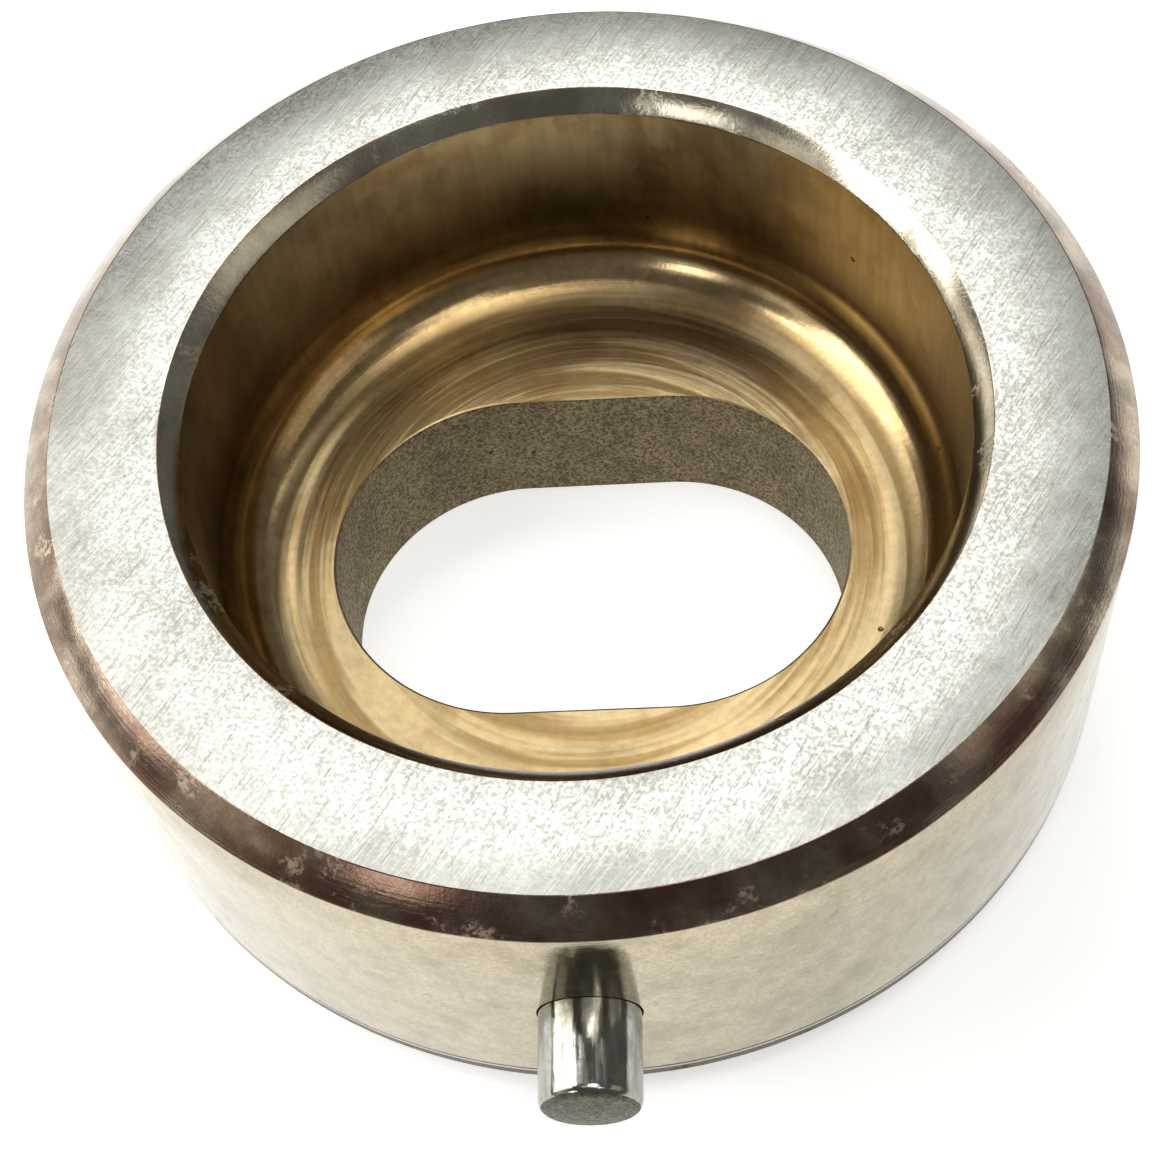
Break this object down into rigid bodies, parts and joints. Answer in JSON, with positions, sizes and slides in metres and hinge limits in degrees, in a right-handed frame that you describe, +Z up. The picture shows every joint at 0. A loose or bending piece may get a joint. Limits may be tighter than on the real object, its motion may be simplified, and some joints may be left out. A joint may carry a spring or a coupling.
{
  "type": "thrust ball bearing race",
  "caption": "Deep cup race with a steel housing ring, a bronze raceway cup with a round-ended slot through its floor, and a radial locating pin.",
  "frame": {"origin": "middle of the footprint, pin included, on the base plane; the bearing's axis stands 3.95 mm from it along +Y", "axes": "+Z up along the bearing's axis, out of the cup's mouth; the pin points along -Y; the slot runs along X"},
  "size_m": [0.09, 0.098, 0.037],
  "materials": {
    "housing_ring": "ground top face and outside diameter, turned chamfers",
    "race_cup": "turned and burnished bore, fillet and floor, rough cast slot wall",
    "dowel_pin": "hardened and polished"
  },
  "bodies": {
    "root": {"housing_ring": "housing_ring", "race_cup": "race_cup", "dowel_pin": "dowel_pin"}
  },
  "joints": []
}
